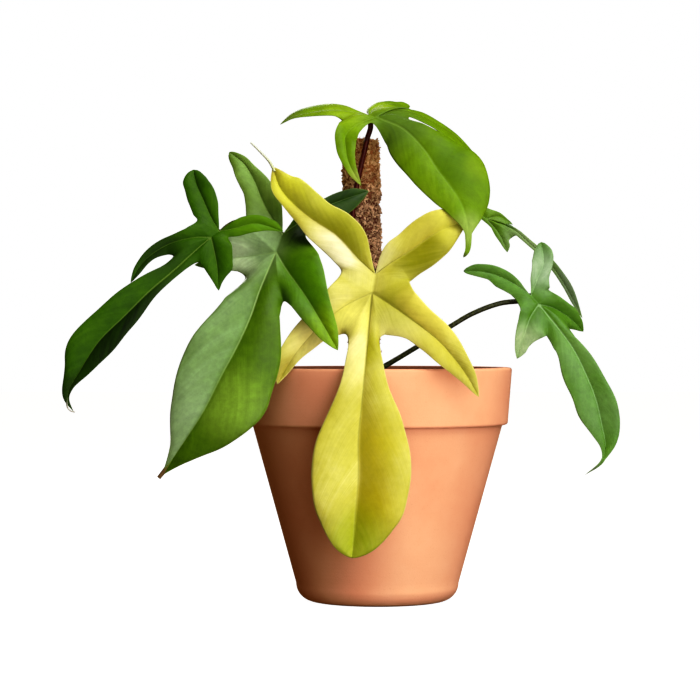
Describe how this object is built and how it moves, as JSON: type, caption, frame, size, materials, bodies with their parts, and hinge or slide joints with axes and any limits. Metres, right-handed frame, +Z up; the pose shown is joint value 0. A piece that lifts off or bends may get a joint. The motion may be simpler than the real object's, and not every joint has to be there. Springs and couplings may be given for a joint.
{
  "type": "potted philodendron",
  "caption": "Potted climbing philodendron with lobed leaves, one of them pale yellow, on stalks from a coir pole in a terracotta pot.",
  "frame": {"origin": "centre of the pot's base", "axes": "+Z up; the yellow leaf faces -Y, and +X is to its right as seen from the front"},
  "size_m": [0.3587, 0.1986, 0.3348],
  "materials": {
    "terracotta": "matte",
    "potting_mix": "matte",
    "stake_wood": "matte",
    "coir": "matte",
    "stem": "satin",
    "leaf_stalk": "satin",
    "leaf_yellow": "satin",
    "leaf_green": "satin",
    "leaf_dark": "satin",
    "leaf_bright": "satin"
  },
  "bodies": {
    "root": {"pot": "terracotta", "soil": "potting_mix", "pole_stake": "stake_wood", "pole_coir": "coir", "stem": "stem", "stalk_ghost": "leaf_stalk", "stalk_front_left": "leaf_stalk", "stalk_far_left": "leaf_stalk", "stalk_top": "leaf_stalk", "stalk_right": "leaf_stalk", "stalk_back_right": "leaf_stalk", "leaf_ghost": "leaf_yellow", "leaf_front_left": "leaf_green", "leaf_far_left": "leaf_dark", "leaf_top": "leaf_bright", "leaf_right": "leaf_green", "leaf_back_right": "leaf_green"}
  },
  "joints": []
}
